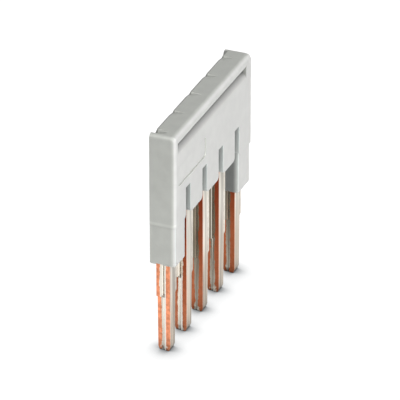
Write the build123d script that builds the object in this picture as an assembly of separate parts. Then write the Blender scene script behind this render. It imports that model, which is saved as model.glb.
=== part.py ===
"""Five-pole plug-in jumper for terminal blocks.

A moulded housing carries a contact comb: one tin-plated copper strip, stamped and folded double
along its top, so that every prong has two layers lying side by side.

X runs along the row of poles, from the near end to the far end. Y is the thickness, with the label
and the finger groove on the -Y side. Z is up, with zero at the tips of the prongs. The origin is
under the middle of the part.
"""
import os
from math import atan2, degrees, sqrt

from build123d import *

# Row of poles
poles = 5
pitch = 4.2
near_margin = 1.12
far_margin = 1.68

# Heights, from the tips of the prongs upward
prong_reach = 14.15
tooth_height = 3.37
web_height = 6.6
end_tooth_drop = 4.45

# Housing body
body_thickness = 2.8
near_edge_radius = 0.5
far_edge_radius = 0.25
back_edge_radius = 0.1
slot_width = 1.1
tooth_corner_radius = 0.5
tooth_edge_radius = 0.12
end_tooth_step = 0.11
end_tooth_rim_radius = 0.28

# Crown of the housing: a bead along the front, and a back set in between two ears
bead_radius = 0.6
near_ear = 0.45
far_ear = 0.4
far_ear_ramp = 1.1
crown_back_inset = 0.33
crown_side_radius = 6.0

# Finger groove under the bead, with a rounded lip toward the label
groove_lip_below_top = 2.2
groove_rise = 0.87
groove_depth = 0.65
groove_near_stop = 0.55
groove_far_stop = 1.45

# Notches across the back of the crown, one to a pole, fading toward the bead
notch_depth = 0.2
notch_near_run = 1.05
first_notch_depth = 0.4
first_notch_near_run = 4.0
notch_far_slope = 0.75
notch_length = 1.25

# Shallow recess for the label
label_near_stop = 0.66
label_length = 7.04
label_height = 2.15
label_below_top = 3.45
label_corner_radius = 0.4
label_depth = 0.1

# Contact comb
layer_thickness = 0.65
comb_set_back = 0.085
edge_roll = 0.05
spine_height = 2.9
spine_below_top = 2.5
plain_edge = 0.66
shank_edge = 1.0
blade_edge = 0.68
tip_edge = 0.55
step_height = 6.1
step_rise = 0.15
tip_corner = 0.08
tip_inner_chamfer = 0.14
tip_inner_rise = 0.24
tip_outer_chamfer = 0.14
tip_outer_rise = 0.4

# Derived places
length = near_margin + (poles - 1) * pitch + far_margin
near_end = -length / 2
far_end = length / 2
half_body = body_thickness / 2
tooth_bottom = prong_reach
slot_top = tooth_bottom + tooth_height
top = slot_top + web_height
end_bottom = tooth_bottom - end_tooth_drop
pole_axes = [near_end + near_margin + pole * pitch for pole in range(poles)]
spine_top = top - spine_below_top
spine_bottom = spine_top - spine_height

# Cutters reach this far past the faces that they open
overshoot = 1.0


def along_row(section, start, stop):
    """Extrude a section drawn on YZ from one place along the row to another."""
    return Pos(start, 0, 0) * extrude(section, stop - start)


def through_thickness(section, front, back):
    """Extrude an outline drawn on XZ between two depths."""
    return Pos(0, back, 0) * extrude(section, back - front)


def upright(plan, bottom, height):
    """Extrude a plan drawn on XY upward from a level."""
    return Pos(0, 0, bottom) * extrude(plan, height)


def body_plan():
    """Outline of the housing seen from above, roundest at its near front corner."""
    plan = Rectangle(length, body_thickness)
    plan = fillet(plan.vertices().group_by(Axis.Y)[-1], back_edge_radius)
    plan = fillet(plan.vertices().group_by(Axis.Y)[0].sort_by(Axis.X)[0], near_edge_radius)
    return fillet(plan.vertices().group_by(Axis.Y)[0].sort_by(Axis.X)[-1], far_edge_radius)


def front_rim(face):
    """Edges of an end face that lie along its front and its top."""
    back_limit = half_body - back_edge_radius
    low_limit = slot_top + back_edge_radius
    middles = [(edge, edge.center()) for edge in face.edges()]
    return [edge for edge, middle in middles if middle.Y < back_limit and middle.Z > low_limit]


def web():
    """Closed upper body, with the bead's roundness along the front of its top."""
    block = upright(Rectangle(length, body_thickness), slot_top, web_height)
    bead_edge = block.edges().filter_by(Axis.X).group_by(Axis.Y)[0].sort_by(Axis.Z)[-1]
    block = fillet(bead_edge, bead_radius)
    block = fillet(front_rim(block.faces().sort_by(Axis.X)[0]), near_edge_radius)
    block = fillet(front_rim(block.faces().sort_by(Axis.X)[-1]), far_edge_radius)
    back_rim = block.faces().sort_by(Axis.Y)[-1].edges().sort_by(Axis.Z)[1:]
    return fillet(back_rim, back_edge_radius)


def tooth(left, right):
    """One tooth beside a slot, round at its lower corners and soft at all front and back edges."""
    height = tooth_height + 2 * tooth_corner_radius
    with BuildSketch(Plane.XZ) as outline:
        with Locations(((left + right) / 2, tooth_bottom + height / 2)):
            RectangleRounded(right - left, height, tooth_corner_radius)
    block = through_thickness(outline.sketch, -half_body, half_body)
    rims = [edge for face in block.faces().filter_by(Axis.Y) for edge in face.edges()]
    return fillet(rims, tooth_edge_radius) & upright(body_plan(), tooth_bottom, tooth_height)


def end_tooth_drop_part(left, right, inset):
    """Lower part of an end tooth, set back behind the faces of the tooth above it."""
    plan = RectangleRounded(right - left, body_thickness - end_tooth_step, tooth_edge_radius)
    plan = Pos((left + right) / 2, end_tooth_step / 2) * plan
    plan = plan & body_plan() & Pos(inset, end_tooth_step) * body_plan()
    prism = upright(plan, end_bottom, end_tooth_drop + tooth_height / 2)
    return fillet(prism.faces().sort_by(Axis.Z)[0].edges(), end_tooth_rim_radius)


def teeth():
    """All teeth below the web, the two end ones with their longer lower parts."""
    half_slot = slot_width / 2
    slot_axes = [axis + pitch / 2 for axis in pole_axes[:-1]]
    lefts = [near_end - overshoot] + [axis + half_slot for axis in slot_axes]
    rights = [axis - half_slot for axis in slot_axes] + [far_end + overshoot]
    row = [tooth(left, right) for left, right in zip(lefts, rights)]
    near_drop = end_tooth_drop_part(lefts[0], rights[0] - end_tooth_step, end_tooth_step)
    far_drop = end_tooth_drop_part(lefts[-1] + end_tooth_step, rights[-1], -end_tooth_step)
    return row + [near_drop, far_drop]


def back_relief():
    """What is taken off the upper back between the ears, with a ramp up to the far ear."""
    arc_drop = sqrt(2 * crown_side_radius * crown_back_inset - crown_back_inset ** 2)
    back_edge = half_body - crown_back_inset
    outside = half_body + overshoot
    with BuildSketch(Plane.YZ) as section:
        with BuildLine():
            wall = Line((half_body, slot_top), (half_body, top - arc_drop))
            shoulder = TangentArc(wall @ 1, (back_edge, top), tangent=wall % 1)
            Polyline(
                shoulder @ 1,
                (back_edge, top + overshoot),
                (outside, top + overshoot),
                (outside, slot_top),
                wall @ 0,
            )
        make_face()
    near_wall = near_end + near_ear
    far_wall = far_end - far_ear
    plan = make_face(
        Polyline(
            (near_wall, 0),
            (near_wall, outside),
            (far_wall, outside),
            (far_wall, half_body),
            (far_wall - far_ear_ramp, back_edge),
            (far_wall - far_ear_ramp, 0),
            close=True,
        )
    )
    return along_row(section.sketch, near_wall, far_wall) & upright(plan, slot_top, web_height + overshoot)


def finger_groove():
    """Groove that undercuts the bead, its floor rounding over into the front face."""
    lip = top - groove_lip_below_top
    bead_level = top - bead_radius
    floor_depth = groove_depth - half_body
    outside = -half_body - overshoot
    with BuildSketch(Plane.YZ) as section:
        with BuildLine():
            floor = TangentArc((-half_body, lip), (floor_depth, lip + groove_rise), tangent=(0, 1))
            Polyline(
                floor @ 1,
                (floor_depth, bead_level),
                (outside, bead_level),
                (outside, lip),
                floor @ 0,
            )
        make_face()
        with Locations((bead_radius - half_body, bead_level)):
            Circle(bead_radius, mode=Mode.SUBTRACT)
    return along_row(section.sketch, near_end + groove_near_stop, far_end - groove_far_stop)


def crown_notch(axis, depth, near_run):
    """One V notch over a pole, steep on its far side, deepest at the back of the crown."""
    rise = depth + overshoot
    with BuildSketch(Plane.XZ) as section:
        with BuildLine():
            Polyline(
                (axis, -depth),
                (axis - near_run * rise / depth, overshoot),
                (axis + notch_far_slope * rise, overshoot),
                close=True,
            )
        make_face()
    tilt = degrees(atan2(depth, notch_length))
    cutter = Rot(-tilt, 0, 0) * through_thickness(section.sketch, -body_thickness, overshoot)
    clear_of_ear = along_row(Plane.YZ * Rectangle(length, length), near_end + near_ear, far_end)
    return Pos(0, half_body - crown_back_inset, top) * (cutter & clear_of_ear)


def crown_notches():
    """The notches over all poles, the first one running on to the near ear."""
    first = crown_notch(pole_axes[0], first_notch_depth, first_notch_near_run)
    return [first] + [crown_notch(axis, notch_depth, notch_near_run) for axis in pole_axes[1:]]


def label_recess():
    """Shallow rounded pocket on the front face."""
    left = near_end + label_near_stop
    with BuildSketch(Plane.XZ) as section:
        with Locations((left + label_length / 2, top - label_below_top - label_height / 2)):
            RectangleRounded(label_length, label_height, label_corner_radius)
    return through_thickness(section.sketch, -half_body - overshoot, label_depth - half_body)


def leg_outline(axis):
    """Front view of one layer of a prong: straight on one side, stepped on the other."""
    with BuildSketch(Plane.XZ) as outline:
        with BuildLine():
            Polyline(
                (axis - plain_edge, 0),
                (axis - plain_edge, spine_bottom + layer_thickness),
                (axis + shank_edge, spine_bottom + layer_thickness),
                (axis + shank_edge, step_height + step_rise),
                (axis + blade_edge, step_height),
                (axis + tip_edge, 0),
                close=True,
            )
        make_face()
        fillet(outline.vertices().group_by(Axis.Y)[0], tip_corner)
    return outline.sketch


def leg_section():
    """Side view of one layer, chamfered at its tip on both faces."""
    with BuildSketch(Plane.YZ) as section:
        with BuildLine():
            Polyline(
                (0, spine_bottom + layer_thickness),
                (0, tip_inner_rise),
                (-tip_inner_chamfer, 0),
                (tip_outer_chamfer - layer_thickness, 0),
                (-layer_thickness, tip_outer_rise),
                (-layer_thickness, spine_bottom + layer_thickness),
                close=True,
            )
        make_face()
    return section.sketch


def layer(axis, roll):
    """Front layer of a prong, its edges rolled over on the inner side by the given amount."""
    outline = leg_outline(axis)
    blade = through_thickness(outline, -layer_thickness, -roll)
    if roll > 0:
        blade += Pos(0, -roll, 0) * extrude(outline, roll, dir=(0, 1, 0), taper=45)
    return blade & along_row(leg_section(), axis - pitch, axis + pitch)


def prong(axis, roll):
    """Two layers side by side, the back one being the front one turned half round."""
    front = layer(axis, roll)
    back = Pos(axis, 0, 0) * Rot(0, 0, 180) * Pos(-axis, 0, 0) * front
    return [front, back]


def spine():
    """Folded back of the comb: the two layers pressed together under the round fold."""
    fold_level = spine_top - layer_thickness
    with BuildSketch(Plane.YZ) as section:
        with Locations((0, spine_bottom)):
            Rectangle(2 * layer_thickness, fold_level - spine_bottom, align=(Align.CENTER, Align.MIN))
        with Locations((0, fold_level)):
            Circle(layer_thickness)
    return along_row(section.sketch, pole_axes[0] - shank_edge, pole_axes[-1] + shank_edge)


def comb(roll):
    """The whole comb. A roll of zero gives the plain envelope that its pocket needs."""
    layers = [piece for axis in pole_axes for piece in prong(axis, roll)]
    return Pos(0, comb_set_back, 0) * (spine() + layers)


def housing():
    """The moulded body, with the pocket that the comb fills."""
    body = web() + teeth()
    body -= back_relief()
    body -= finger_groove()
    body -= crown_notches()
    body -= label_recess()
    return body - comb(0)


def save(shape, name):
    """Write one piece as a STEP file under its node name."""
    shape.label = name
    export_step(shape, f"parts/{name}.step")


os.makedirs("parts", exist_ok=True)
save(housing(), "housing")
save(comb(edge_roll), "contact_comb")
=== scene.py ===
import math
from collections import namedtuple

import bpy
from mathutils import Matrix, Vector


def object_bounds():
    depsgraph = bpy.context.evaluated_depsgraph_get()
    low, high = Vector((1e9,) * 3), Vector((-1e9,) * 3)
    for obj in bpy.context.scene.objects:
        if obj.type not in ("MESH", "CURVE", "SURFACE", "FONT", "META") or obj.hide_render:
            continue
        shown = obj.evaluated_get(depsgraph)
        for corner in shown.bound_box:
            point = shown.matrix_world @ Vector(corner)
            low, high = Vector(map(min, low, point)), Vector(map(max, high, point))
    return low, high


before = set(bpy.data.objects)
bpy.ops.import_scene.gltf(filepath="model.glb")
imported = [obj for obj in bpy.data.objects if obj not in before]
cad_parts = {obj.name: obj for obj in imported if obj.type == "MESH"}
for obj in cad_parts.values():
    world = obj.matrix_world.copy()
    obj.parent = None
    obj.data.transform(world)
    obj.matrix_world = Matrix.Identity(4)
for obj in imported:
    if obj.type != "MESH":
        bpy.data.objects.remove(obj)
cad_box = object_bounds()

MM = 0.001

# Camera, in millimetres and degrees: it looks past the near end at the label side
FRAME_PX = 400
SENSOR_MM = 36.0
VIEW_TURN = 67.55
VIEW_RISE = 28.85
VIEW_DISTANCE = 463.0
VIEW_AIM = (0.2, -0.1, 11.12)
AIM_RIGHT = -0.275
AIM_UP = 0.86
PX_PER_MM = 10.1
NEAREST_SEEN = 10.0

# Places on the housing, in metres
FRONT = cad_box[0][1]
END = cad_box[1][0]
BACK = cad_box[1][1]
TOP = cad_box[1][2]
END_FACES_FROM = END - 0.3 * MM
EARS_FROM = END - 0.5 * MM
SLOT_TOP = TOP - 6.6 * MM
LEDGE = TOP - 9.72 * MM
GROOVE_START = -END + 0.53 * MM
GROOVE_ROOF = TOP - 1.0 * MM
GROOVE_DEPTHS = (FRONT + 0.02 * MM, FRONT + 0.9 * MM)
LABEL_LENGTHS = (GROOVE_START, 0.0)
LABEL_HEIGHTS = (TOP - 5.8 * MM, TOP - 3.3 * MM)
LABEL_DEPTHS = (FRONT + 0.002 * MM, FRONT + 0.098 * MM)

# Places on the comb, in metres
PITCH = 4.2 * MM
MIDDLE_PRONG = -0.28 * MM
FOURTH_PRONG = MIDDLE_PRONG + PITCH
PRONG_REACH = 1.1 * MM
SEAM = 0.085 * MM
BACK_LAYER_FROM = SEAM - 0.2 * MM
FRONT_FACE_TO = SEAM - 0.6 * MM
STEP = 6.2 * MM
STEP_GAP = STEP + 0.02 * MM
END_PRONGS_FROM = 7.0 * MM
NEAR_PRONGS_TO = -3.5 * MM

# Colours as linear values
PLASTIC = (0.625, 0.627, 0.611)
# Painted shade: a darker, greener copy of the plastic for faces turned away from the front, and a
# cooler one for the slot walls
SHADE_PLASTIC = (0.598, 0.612, 0.573)
SLOT_SHADE_PLASTIC = (0.58, 0.615, 0.60)
TIN_FACE = (0.65, 0.61, 0.54)
LOW_TIN_FACE = (0.56, 0.475, 0.385)
TIN_CUT = (0.79, 0.735, 0.635)
TIN_SPECK = (0.85, 0.80, 0.68)
# Painted light on the tin: along the seam of the near prongs, and on the strip of the back layer
LIT_TIN_BY_SEAM = (0.86, 0.84, 0.79)
LIT_TIN_STRIP = (0.95, 0.91, 0.82)
COPPER = (0.82, 0.32, 0.17)
# Painted shade and painted reflection: copper between the prongs, dim, and deep red where it
# mirrors more copper
SHADED_COPPER = (0.36, 0.098, 0.038)
REFLECTED_SHADE_COPPER = (0.24, 0.03, 0.01)
FLOOR = (0.8, 0.8, 0.8)
FLOOR_SHADE = (0.95, 0.98, 1.0)
WHITE = (1.0, 1.0, 1.0)

# Floor, in metres: half its side, the lean of its wide painted shadow, the reach and strength of
# each painted shadow, and how brightly the camera sees it
FLOOR_HALF = 1.5
SHADE_LEAN = (0.3, 0.16, 0.94)
WIDE_SHADE = (3.0 * MM, 0.95)
TIGHT_SHADE = (1.3 * MM, 0.7)
FLOOR_GLOW = 1.1

# Lamps, in metres, degrees and watts
LAMP_DISTANCE = 0.5
LAMPS = (
    {"name": "front_left", "azimuth": -30, "elevation": 10, "size": (0.3, 0.16), "power": 1.84},
    {"name": "left", "azimuth": -60, "elevation": 40, "size": (0.3, 0.3), "power": 0.38},
    {"name": "top", "azimuth": -90, "elevation": 75, "size": (0.3, 0.3), "power": 0.84},
    {"name": "right", "azimuth": 60, "elevation": 30, "size": (0.3, 0.3), "power": 0.35},
    {"name": "back", "azimuth": 170, "elevation": 4, "size": (0.3, 0.16), "power": 0.7},
)


def add_camera():
    """Camera at the fitted place, with a long lens and no shift."""
    turn = math.radians(VIEW_TURN)
    rise = math.radians(VIEW_RISE)
    right = Vector((math.cos(turn), -math.sin(turn), 0))
    away = Vector((math.sin(turn), math.cos(turn), 0))
    forward = away * math.cos(rise) - Vector((0, 0, math.sin(rise)))
    above = away * math.sin(rise) + Vector((0, 0, math.cos(rise)))
    aim = Vector(VIEW_AIM) + right * AIM_RIGHT + above * AIM_UP
    place = (aim - forward * VIEW_DISTANCE) * MM
    data = bpy.data.cameras.new("camera")
    data.sensor_width = SENSOR_MM
    data.lens = PX_PER_MM * VIEW_DISTANCE / FRAME_PX * SENSOR_MM
    data.clip_start = NEAREST_SEEN * MM
    camera = bpy.data.objects.new("camera", data)
    turned = Matrix((right, above, -forward)).transposed().to_4x4()
    camera.matrix_world = Matrix.Translation(place) @ turned
    bpy.context.scene.collection.objects.link(camera)
    bpy.context.scene.camera = camera


add_camera()


# Smooth change from the first level to the last, between a start and an end in metres,
# in noise values or in parts of a normal
Fade = namedtuple("Fade", "start end first last")


class Nodes:
    """Short calls for building the node tree of a material or a world."""

    def __init__(self, owner, output):
        self.owner = owner
        owner.use_nodes = True
        self.tree = owner.node_tree
        self.tree.nodes.clear()
        self.output = self.add(output)

    def add(self, kind, inputs=None, **settings):
        node = self.tree.nodes.new("ShaderNode" + kind)
        for key, value in settings.items():
            setattr(node, key, value)
        for key, value in (inputs or {}).items():
            socket = node.inputs[key]
            if isinstance(value, bpy.types.NodeSocket):
                self.tree.links.new(value, socket)
            else:
                socket.default_value = value
        return node

    def finish(self, shader):
        self.tree.links.new(shader.outputs[0], self.output.inputs["Surface"])
        return self.owner

    def math(self, operation, a, b=0.0, c=0.0):
        return self.add("Math", {0: a, 1: b, 2: c}, operation=operation).outputs[0]

    def plus(self, a, b):
        return self.math("ADD", a, b)

    def minus(self, a, b):
        return self.math("SUBTRACT", a, b)

    def times(self, first, *others):
        for other in others:
            first = self.math("MULTIPLY", first, other)
        return first

    def greatest(self, first, *others):
        for other in others:
            first = self.math("MAXIMUM", first, other)
        return first

    def absolute(self, a):
        return self.math("ABSOLUTE", a)

    def over(self, value, limit):
        """Mask, which is 1 where the value is over the limit and 0 elsewhere."""
        return self.math("GREATER_THAN", value, limit)

    def under(self, value, limit):
        return self.math("LESS_THAN", value, limit)

    def between(self, value, limits):
        low, high = limits
        return self.times(self.over(value, low), self.under(value, high))

    def outside(self, mask):
        return self.minus(1.0, mask)

    def fade(self, value, fade):
        inputs = dict(enumerate((value, *fade)))
        return self.add("MapRange", inputs, interpolation_type="SMOOTHSTEP").outputs[0]

    def blend(self, mask, a, b):
        """Number a where the mask is 0, and b where it is 1."""
        return self.add("Mix", {0: mask, 2: a, 3: b}).outputs[0]

    def only_on(self, mask, factor):
        """The factor where the mask is 1, and no change elsewhere."""
        return self.blend(mask, 1.0, factor)

    def mix(self, mask, a, b):
        """Colour a where the mask is 0, and b where it is 1."""
        a, b = [(*colour, 1.0) if isinstance(colour, tuple) else colour for colour in (a, b)]
        return self.add("Mix", {0: mask, 6: a, 7: b}, data_type="RGBA").outputs[2]

    def scaled(self, colour, factor):
        """Colour times a number."""
        return self.add("VectorMath", {0: colour, 3: factor}, operation="SCALE").outputs[0]

    def product(self, a, b):
        """Two colours or places, multiplied channel by channel."""
        return self.add("VectorMath", {0: a, 1: b}, operation="MULTIPLY").outputs[0]

    def noise(self, place, scale, detail):
        inputs = {"Vector": place, "Scale": scale, "Detail": detail}
        return self.add("TexNoise", inputs).outputs[0]

    def occlusion_shade(self, reach, strength, samples=12, **inputs):
        """Painted shade: a number that is 1 in the open, and less by something close."""
        inputs["Distance"] = reach
        near = self.add("AmbientOcclusion", inputs, samples=samples)
        return self.math("POWER", near.outputs["AO"], strength)

    def bump(self, height, strength, depth=0.02 * MM):
        inputs = {"Height": height, "Strength": strength, "Distance": depth}
        return self.add("Bump", inputs).outputs[0]


class Surface(Nodes):
    """Nodes of a material, with the place and the normal of the surface under it."""

    def __init__(self, name):
        super().__init__(bpy.data.materials.new(name), "OutputMaterial")
        coords = self.add("TexCoord").outputs
        self.place = coords["Object"]
        self.x, self.y, self.z = self.add("SeparateXYZ", {0: self.place}).outputs
        self.nx, self.ny, self.nz = self.add("SeparateXYZ", {0: coords["Normal"]}).outputs
        self.from_middle = self.absolute(self.x)
        self.looks_along_row = self.over(self.absolute(self.nx), 0.5)


# Painted light and shade on the plastic, and its mottle, as factors on its colour; then its
# roughness. A shade is a reach and a strength.
SLOT_WALL = Fade(0.65 * MM, 1.2 * MM, 0.45, 1.3)
SLOT_LIP = Fade(1.22 * MM, 1.36 * MM, 1.0, 0.7)
GROOVE_DARK = Fade(TOP - 2.2 * MM, TOP - 1.4 * MM, 1.03, 0.5)
ROUNDED = Fade(0.99, 0.75, 0.0, 1.0)
NEAR_EDGE_HIGHLIGHT = Fade(LEDGE - 0.1 * MM, LEDGE + 0.1 * MM, 1.14, 1.3)
NEAR_TO_FRONT = Fade(-0.4, -0.1, 0.0, 1.0)
FRONT_EDGE_HIGHLIGHT = 1.12
FAR_EDGE_SHADE = Fade(0.0, 0.3, 1.0, 0.75)
LEDGE_HIGHLIGHT = Fade(0.2 * MM, 0.08 * MM, 1.0, 1.12)
END_UPWARDS = Fade(LEDGE, TOP - 4 * MM, 1.0, 0.91)
LABEL_RIM_HIGHLIGHT = 1.62
CROWN_BACK_SHADE = Fade(BACK - 0.5 * MM, BACK - 0.34 * MM, 1.0, 0.4)
FRONT_TO_OTHERS = Fade(-0.7, -0.3, 0.0, 1.0)
PLASTIC_SHADE = (6 * MM, 0.5)
MOTTLE = Fade(0.3, 0.7, 0.965, 1.035)
PATCHES = Fade(0.3, 0.7, 0.99, 1.01)
PLASTIC_ROUGHNESS = Fade(0.3, 0.7, 0.40, 0.50)


def slot_walls(n):
    """Mask of the walls in the slots and between the teeth."""
    inside_ends = n.under(n.from_middle, END_FACES_FROM)
    return n.times(n.looks_along_row, inside_ends, n.under(n.z, SLOT_TOP))


def slot_painted_shade(n, walls):
    """Painted shade on the slot walls: dark by the comb, light towards both faces, softer at the
    lip.
    """
    off_middle = n.absolute(n.y)
    return n.only_on(walls, n.times(n.fade(off_middle, SLOT_WALL), n.fade(off_middle, SLOT_LIP)))


def groove_painted_shade(n):
    """Painted shade in the finger groove: dark under its roof, lighter downwards."""
    under_roof = n.times(n.between(n.y, GROOVE_DEPTHS), n.under(n.z, GROOVE_ROOF))
    back_wall = n.times(n.outside(n.looks_along_row), n.over(n.nz, -0.05))
    groove = n.times(under_roof, back_wall, n.over(n.x, GROOVE_START))
    return n.only_on(groove, n.fade(n.z, GROOVE_DARK))


def edge_painted_light(n):
    """Rounded edges: a painted highlight at the near end, more so above the ledge, and painted
    shade at the far end.
    """
    along_axis = n.greatest(n.absolute(n.nz), n.absolute(n.ny), n.absolute(n.nx))
    near = n.blend(n.fade(n.nx, NEAR_TO_FRONT), n.fade(n.z, NEAR_EDGE_HIGHLIGHT), FRONT_EDGE_HIGHLIGHT)
    return n.only_on(n.fade(along_axis, ROUNDED), n.times(near, n.fade(n.nx, FAR_EDGE_SHADE)))


def end_painted_light(n):
    """End faces: a painted highlight along the ledge, and a little darker upwards."""
    ends = n.times(n.looks_along_row, n.over(n.from_middle, END_FACES_FROM))
    line = n.fade(n.absolute(n.minus(n.z, LEDGE)), LEDGE_HIGHLIGHT)
    return n.only_on(ends, n.times(line, n.fade(n.z, END_UPWARDS)))


def label_painted_highlight(n):
    """Painted highlight on the rim round the empty label recess."""
    rim = n.times(n.between(n.x, LABEL_LENGTHS), n.between(n.z, LABEL_HEIGHTS))
    return n.only_on(n.times(rim, n.between(n.y, LABEL_DEPTHS)), LABEL_RIM_HIGHLIGHT)


def crown_painted_shade(n):
    """Painted shade: a dark line along the crown's back edge, between the ears."""
    crown = n.times(n.over(n.nz, 0.3), n.under(n.from_middle, EARS_FROM))
    return n.only_on(crown, n.fade(n.y, CROWN_BACK_SHADE))


def plastic_material():
    """Light grey moulding: fine grain, painted highlights on the soft edges, and painted shade in
    the slots and the groove.
    """
    n = Surface("housing_grey")
    cloud = n.noise(n.place, scale=900.0, detail=4.0)
    patch = n.noise(n.place, scale=180.0, detail=2.0)
    grain = n.noise(n.place, scale=7000.0, detail=3.0)
    walls = slot_walls(n)
    # Mottle and patches, times painted shade and painted highlights
    tone = n.times(
        n.fade(cloud, MOTTLE),
        n.fade(patch, PATCHES),
        n.occlusion_shade(*PLASTIC_SHADE),
        slot_painted_shade(n, walls),
        groove_painted_shade(n),
        edge_painted_light(n),
        end_painted_light(n),
        label_painted_highlight(n),
        crown_painted_shade(n),
    )
    # Painted shade: faces turned away from the front take the darker copy of the plastic, slot
    # walls the cooler one
    plain = n.mix(n.fade(n.ny, FRONT_TO_OTHERS), PLASTIC, SHADE_PLASTIC)
    return n.finish(n.add("BsdfPrincipled", {
        "Base Color": n.scaled(n.mix(walls, plain, SLOT_SHADE_PLASTIC), tone),
        "Roughness": n.fade(cloud, PLASTIC_ROUGHNESS),
        "Normal": n.bump(grain, strength=0.15),
    }))


# Border of the copper on the cut edges, in metres from the seam
FRONT_COPPER_FROM = 0.21 * MM
BACK_COPPER_FROM = 0.27 * MM
RAGGED = 0.36 * MM
CRUMBS = 0.24 * MM
TORN_AT_TIP = Fade(0.2 * MM, 1.6 * MM, 2.6, 1.0)

# Marks on the metal, and painted highlights and shade on it, as masks or as factors on its colour.
# Streaks have their noise scale first.
COARSE_STRETCH = (1, 1, 0.45)
STREAK_STRETCH = (1, 1, 0.04)
EDGE_HIGHLIGHT = Fade(0.5 * MM, 0.6 * MM, 1.0, 1.3)
BROKEN_EDGE_HIGHLIGHT = Fade(0.4, 0.6, 0.3, 1.0)
LIGHT_ACROSS_PRONG = Fade(-0.45 * MM, 0.5 * MM, 1.12, 0.9)
SMEARED_EDGE = Fade(-0.46 * MM, -0.6 * MM, 0.0, 1.0)
PATCHY_SMEAR = Fade(0.42, 0.58, 0.35, 1.0)
SMEAR_STRENGTH = 0.6
BROAD_STREAKS = (2000.0, Fade(0.32, 0.68, 0.68, 1.2))
THIN_STREAKS = (5500.0, Fade(0.32, 0.68, 0.84, 1.12))
CUT_STREAKS = (4200.0, Fade(0.32, 0.68, 0.88, 1.08))
BUMP_STREAKS = (5200.0, Fade(0.32, 0.68, 0.0, 0.6))
BUMP_GRAIN = 0.4
CUT_CLOUDS = Fade(0.3, 0.7, 0.92, 1.06)
COPPER_GRAIN = Fade(0.35, 0.65, 0.8, 1.12)
LOW_TO_HIGH_TIN = Fade(3 * MM, 10.5 * MM, 0.0, 1.0)
TIP_ZONE = Fade(0.8 * MM, 0.4 * MM, 0.0, 1.0)
TIP_ZONE_HALF_WIDTH = 0.4 * MM
TIP_SPECKS = Fade(0.54, 0.62, 0.0, 0.8)
TIP_PITS = Fade(0.46, 0.38, 0.0, 0.4)
SEAM_LINE_HALF_WIDTH = 0.22 * MM
SEAM_LINE_STRENGTH = 0.7
GAP_HALF_HEIGHT = 0.2 * MM
GAP_HALF_WIDTH = 0.09 * MM
GAP_DARKNESS = 0.7

# Painted shade that each prong casts on the next one's cut edge, with painted reflections of the
# metal in it
TIN_SHADE_UPWARDS = Fade(-6 * MM, 8 * MM, 0.2, 1.0)
TIN_SHADE_ONWARDS = Fade(-5.2 * MM, -1.5 * MM, 0.0, 1.0)
COPPER_SHADE_UPWARDS = Fade(-4 * MM, 8 * MM, 0.25, 0.95)
COPPER_SHADE_ONWARDS = Fade(-4 * MM, 0.0, 0.0, 0.85)
SHADE_TO_REFLECTION = Fade(4 * MM, 15 * MM, 0.0, 1.0)
SHADED_TIN = 0.36
LIT_FOURTH_STRIP = 0.6
COMB_SHADE = (2.0 * MM, 0.6)

TIN_ROUGHNESS = 0.36
COPPER_ROUGHNESS = 0.5


class CombSurface(Surface):
    """Surface with the noises, distances and masks that the comb's looks share."""

    def __init__(self, name):
        super().__init__(name)
        self.fine = self.noise(self.place, scale=2600.0, detail=3.0)
        self.coarse = self.noise(self.product(self.place, COARSE_STRETCH), scale=700.0, detail=4.0)
        self.from_seam = self.absolute(self.minus(self.y, SEAM))
        along = self.minus(self.x, MIDDLE_PRONG)
        self.from_prong = self.math("WRAP", along, PITCH / 2, -PITCH / 2)
        self.cut = self.greatest(self.looks_along_row, self.under(self.nz, -0.5))
        self.looks_outward = self.over(self.times(self.nx, self.x), END_PRONGS_FROM)
        self.near_edges = self.times(self.looks_along_row, self.under(self.x, NEAR_PRONGS_TO))
        by_seam = self.under(self.from_seam, TIP_ZONE_HALF_WIDTH)
        self.tip_zone = self.times(self.fade(self.z, TIP_ZONE), by_seam)

    def streaks(self, scale, fade):
        """Fine lines that run along the prongs."""
        stretched = self.product(self.place, STREAK_STRETCH)
        return self.fade(self.noise(stretched, scale, detail=3.0), fade)


def bare_copper(n):
    """Mask of the bare copper: the outer part of the cut edges, with a torn border.

    Above the step, one layer's edge on each side of a prong is plated instead.
    """
    ragged = n.times(n.minus(n.coarse, 0.5), RAGGED)
    crumbs = n.times(n.minus(n.fine, 0.5), CRUMBS)
    wander = n.times(n.plus(ragged, crumbs), n.fade(n.z, TORN_AT_TIP))
    border = n.blend(n.over(n.y, SEAM), FRONT_COPPER_FROM, BACK_COPPER_FROM)
    torn = n.times(n.cut, n.over(n.from_seam, n.plus(wander, border)))

    shank = n.times(n.over(n.z, STEP), n.outside(n.looks_outward))
    plated_layer = n.over(n.times(n.nx, n.minus(SEAM, n.y)), 0.0)
    return n.times(torn, n.outside(n.times(shank, plated_layer)))


def face_streaks_and_painted_light(n):
    """Tin faces: streaks, painted highlights on the burrs along the edges, and painted shade
    towards the far side.
    """
    edge_highlight = n.fade(n.absolute(n.from_prong), EDGE_HIGHLIGHT)
    return n.times(
        n.streaks(*BROAD_STREAKS),
        n.streaks(*THIN_STREAKS),
        n.only_on(n.fade(n.fine, BROKEN_EDGE_HIGHLIGHT), edge_highlight),
        n.fade(n.from_prong, LIGHT_ACROSS_PRONG),
    )


def copper_smear(n):
    """Mask of the copper that shows round the near edge of each front face."""
    edge = n.times(n.fade(n.from_prong, SMEARED_EDGE), n.under(n.y, FRONT_FACE_TO))
    return n.times(edge, n.fade(n.fine, PATCHY_SMEAR), SMEAR_STRENGTH)


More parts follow.
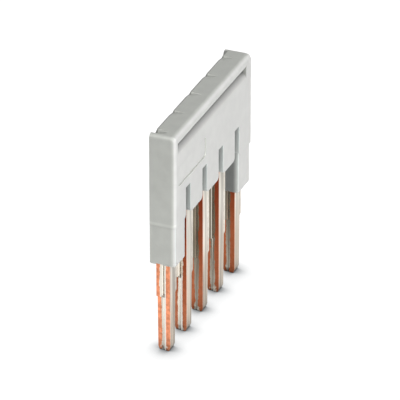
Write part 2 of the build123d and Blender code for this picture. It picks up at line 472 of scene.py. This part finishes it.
def open_colour(n, bare):
    """Tin and copper in open light."""
    cut_tone = n.times(n.streaks(*CUT_STREAKS), n.fade(n.coarse, CUT_CLOUDS))
    face = n.mix(n.fade(n.z, LOW_TO_HIGH_TIN), LOW_TIN_FACE, TIN_FACE)
    tin = n.mix(n.cut, n.scaled(face, face_streaks_and_painted_light(n)), n.scaled(TIN_CUT, cut_tone))
    copper = n.scaled(COPPER, n.times(n.fade(n.fine, COPPER_GRAIN), cut_tone))
    return n.mix(n.greatest(bare, copper_smear(n)), tin, copper)


def prong_shade(n, bare):
    """How much painted shade the next prong casts on a cut edge: more upwards and towards the far
    end.
    """
    on_tin = n.times(n.fade(n.z, TIN_SHADE_UPWARDS), n.fade(n.x, TIN_SHADE_ONWARDS))
    copper_onwards = n.fade(n.x, COPPER_SHADE_ONWARDS)
    on_copper = n.greatest(n.fade(n.z, COPPER_SHADE_UPWARDS), copper_onwards)
    sheltered = n.times(n.looks_along_row, n.outside(n.looks_outward))
    return n.times(sheltered, n.blend(bare, on_tin, on_copper))


def shaded_colour(n, colour, bare, shade):
    """Painted shade and painted reflection between the prongs, where metal mirrors more metal: dim
    tin and deep red copper.
    """
    tin = n.scaled(n.product(colour, colour), SHADED_TIN)
    copper = n.mix(n.fade(n.z, SHADE_TO_REFLECTION), SHADED_COPPER, REFLECTED_SHADE_COPPER)
    return n.mix(shade, colour, n.mix(bare, tin, copper))


def tip_specks_and_pits(n, colour):
    """Pale specks and small dark pits by the seam, at the tips."""
    specks = n.times(n.tip_zone, n.cut, n.fade(n.fine, TIP_SPECKS))
    pits = n.times(n.tip_zone, n.fade(n.fine, TIP_PITS))
    return n.scaled(n.mix(specks, colour, TIN_SPECK), n.outside(pits))


def seam_painted_light(n, colour):
    """Painted light on the tin of the front layer, along the seam of the near prongs."""
    in_the_open = n.greatest(n.looks_outward, n.under(n.z, STEP))
    beside = n.times(n.under(n.from_seam, SEAM_LINE_HALF_WIDTH), n.under(n.y, SEAM))
    line = n.times(n.near_edges, in_the_open, beside, SEAM_LINE_STRENGTH)
    return n.mix(line, colour, LIT_TIN_BY_SEAM)


def back_strip_painted_light(n, colour, shade):
    """Painted light on the front of the back layer, where it stands out beside the front one."""
    on_fourth = n.under(n.absolute(n.minus(n.x, FOURTH_PRONG)), PRONG_REACH)
    lit = n.greatest(n.outside(shade), n.times(on_fourth, LIT_FOURTH_STRIP))
    front_of_back = n.times(n.over(n.y, BACK_LAYER_FROM), n.under(n.ny, -0.3))
    return n.mix(n.times(front_of_back, lit), colour, LIT_TIN_STRIP)


def step_gap(n, colour):
    """Dark gap in the seam at the step of the near prongs."""
    height = n.under(n.absolute(n.minus(n.z, STEP_GAP)), GAP_HALF_HEIGHT)
    gap = n.times(height, n.under(n.from_seam, GAP_HALF_WIDTH), n.near_edges)
    return n.scaled(colour, n.outside(n.times(gap, GAP_DARKNESS)))


def comb_material():
    """Tinned sheet. Its cut edges are tin by the seam and bare copper on the outer half."""
    n = CombSurface("tinned_comb")
    bare = bare_copper(n)
    shade = prong_shade(n, bare)
    colour = shaded_colour(n, open_colour(n, bare), bare, shade)
    colour = tip_specks_and_pits(n, colour)
    # Painted shade where something stands close
    colour = n.scaled(colour, n.occlusion_shade(*COMB_SHADE))
    colour = seam_painted_light(n, colour)
    colour = back_strip_painted_light(n, colour, shade)
    colour = step_gap(n, colour)
    height = n.plus(n.streaks(*BUMP_STREAKS), n.times(n.fine, BUMP_GRAIN))
    return n.finish(n.add("BsdfPrincipled", {
        "Base Color": colour,
        "Metallic": 1.0,
        "Roughness": n.blend(bare, TIN_ROUGHNESS, COPPER_ROUGHNESS),
        "Normal": n.bump(height, strength=0.35),
    }))


def give(node, material):
    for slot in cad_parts[node].material_slots:
        slot.material = material


give("housing", plastic_material())
give("contact_comb", comb_material())


def seen_by_camera(n):
    """Mask of the rays that show the floor or the backdrop, also in reflections and glass."""
    path = n.add("LightPath").outputs
    return n.greatest(path["Is Camera Ray"], path["Is Glossy Ray"], path["Is Transmission Ray"])


def floor_material():
    """White to the camera, with a painted shadow where things stand close. A plain pale diffuse to
    the light.
    """
    n = Nodes(bpy.data.materials.new("floor_white"), "OutputMaterial")
    lean = n.add("CombineXYZ", dict(enumerate(SHADE_LEAN))).outputs[0]
    wide = n.occlusion_shade(*WIDE_SHADE, samples=24, Normal=lean)
    shade = n.times(wide, n.occlusion_shade(*TIGHT_SHADE, samples=24))
    colour = n.mix(shade, FLOOR_SHADE, WHITE)
    glow = n.add("Emission", {"Color": colour, "Strength": n.times(shade, FLOOR_GLOW)})
    dull = n.add("BsdfDiffuse", {"Color": (*FLOOR, 1)})
    mixed = {0: seen_by_camera(n), 1: dull.outputs[0], 2: glow.outputs[0]}
    return n.finish(n.add("MixShader", mixed))


def add_floor():
    corners = [(-1, -1, 0), (1, -1, 0), (1, 1, 0), (-1, 1, 0)]
    mesh = bpy.data.meshes.new("floor")
    mesh.from_pydata([Vector(corner) * FLOOR_HALF for corner in corners], [], [(0, 1, 2, 3)])
    mesh.materials.append(floor_material())
    floor = bpy.data.objects.new("floor", mesh)
    bpy.context.scene.collection.objects.link(floor)


def set_world():
    """White to the camera and in reflections and glass. The lamps give all the other light."""
    n = Nodes(bpy.data.worlds.new("studio"), "OutputWorld")
    bpy.context.scene.world = n.owner
    n.finish(n.add("Background", {"Color": (*WHITE, 1), "Strength": seen_by_camera(n)}))


def add_lamp(name, azimuth, elevation, size, power):
    """Soft box that faces the middle of the part."""
    turn = math.radians(azimuth)
    rise = math.radians(elevation)
    level = math.cos(rise)
    way = Vector((math.sin(turn) * level, -math.cos(turn) * level, math.sin(rise)))
    data = bpy.data.lights.new(name, "AREA")
    data.shape = "RECTANGLE"
    data.size, data.size_y = size
    data.energy = power
    lamp = bpy.data.objects.new(name, data)
    lamp.location = Vector((0, 0, TOP / 2)) + way * LAMP_DISTANCE
    lamp.rotation_euler = way.to_track_quat("Z", "Y").to_euler()
    bpy.context.scene.collection.objects.link(lamp)


add_floor()
set_world()
for lamp in LAMPS:
    add_lamp(**lamp)

bpy.context.scene.view_settings.view_transform = "Standard"
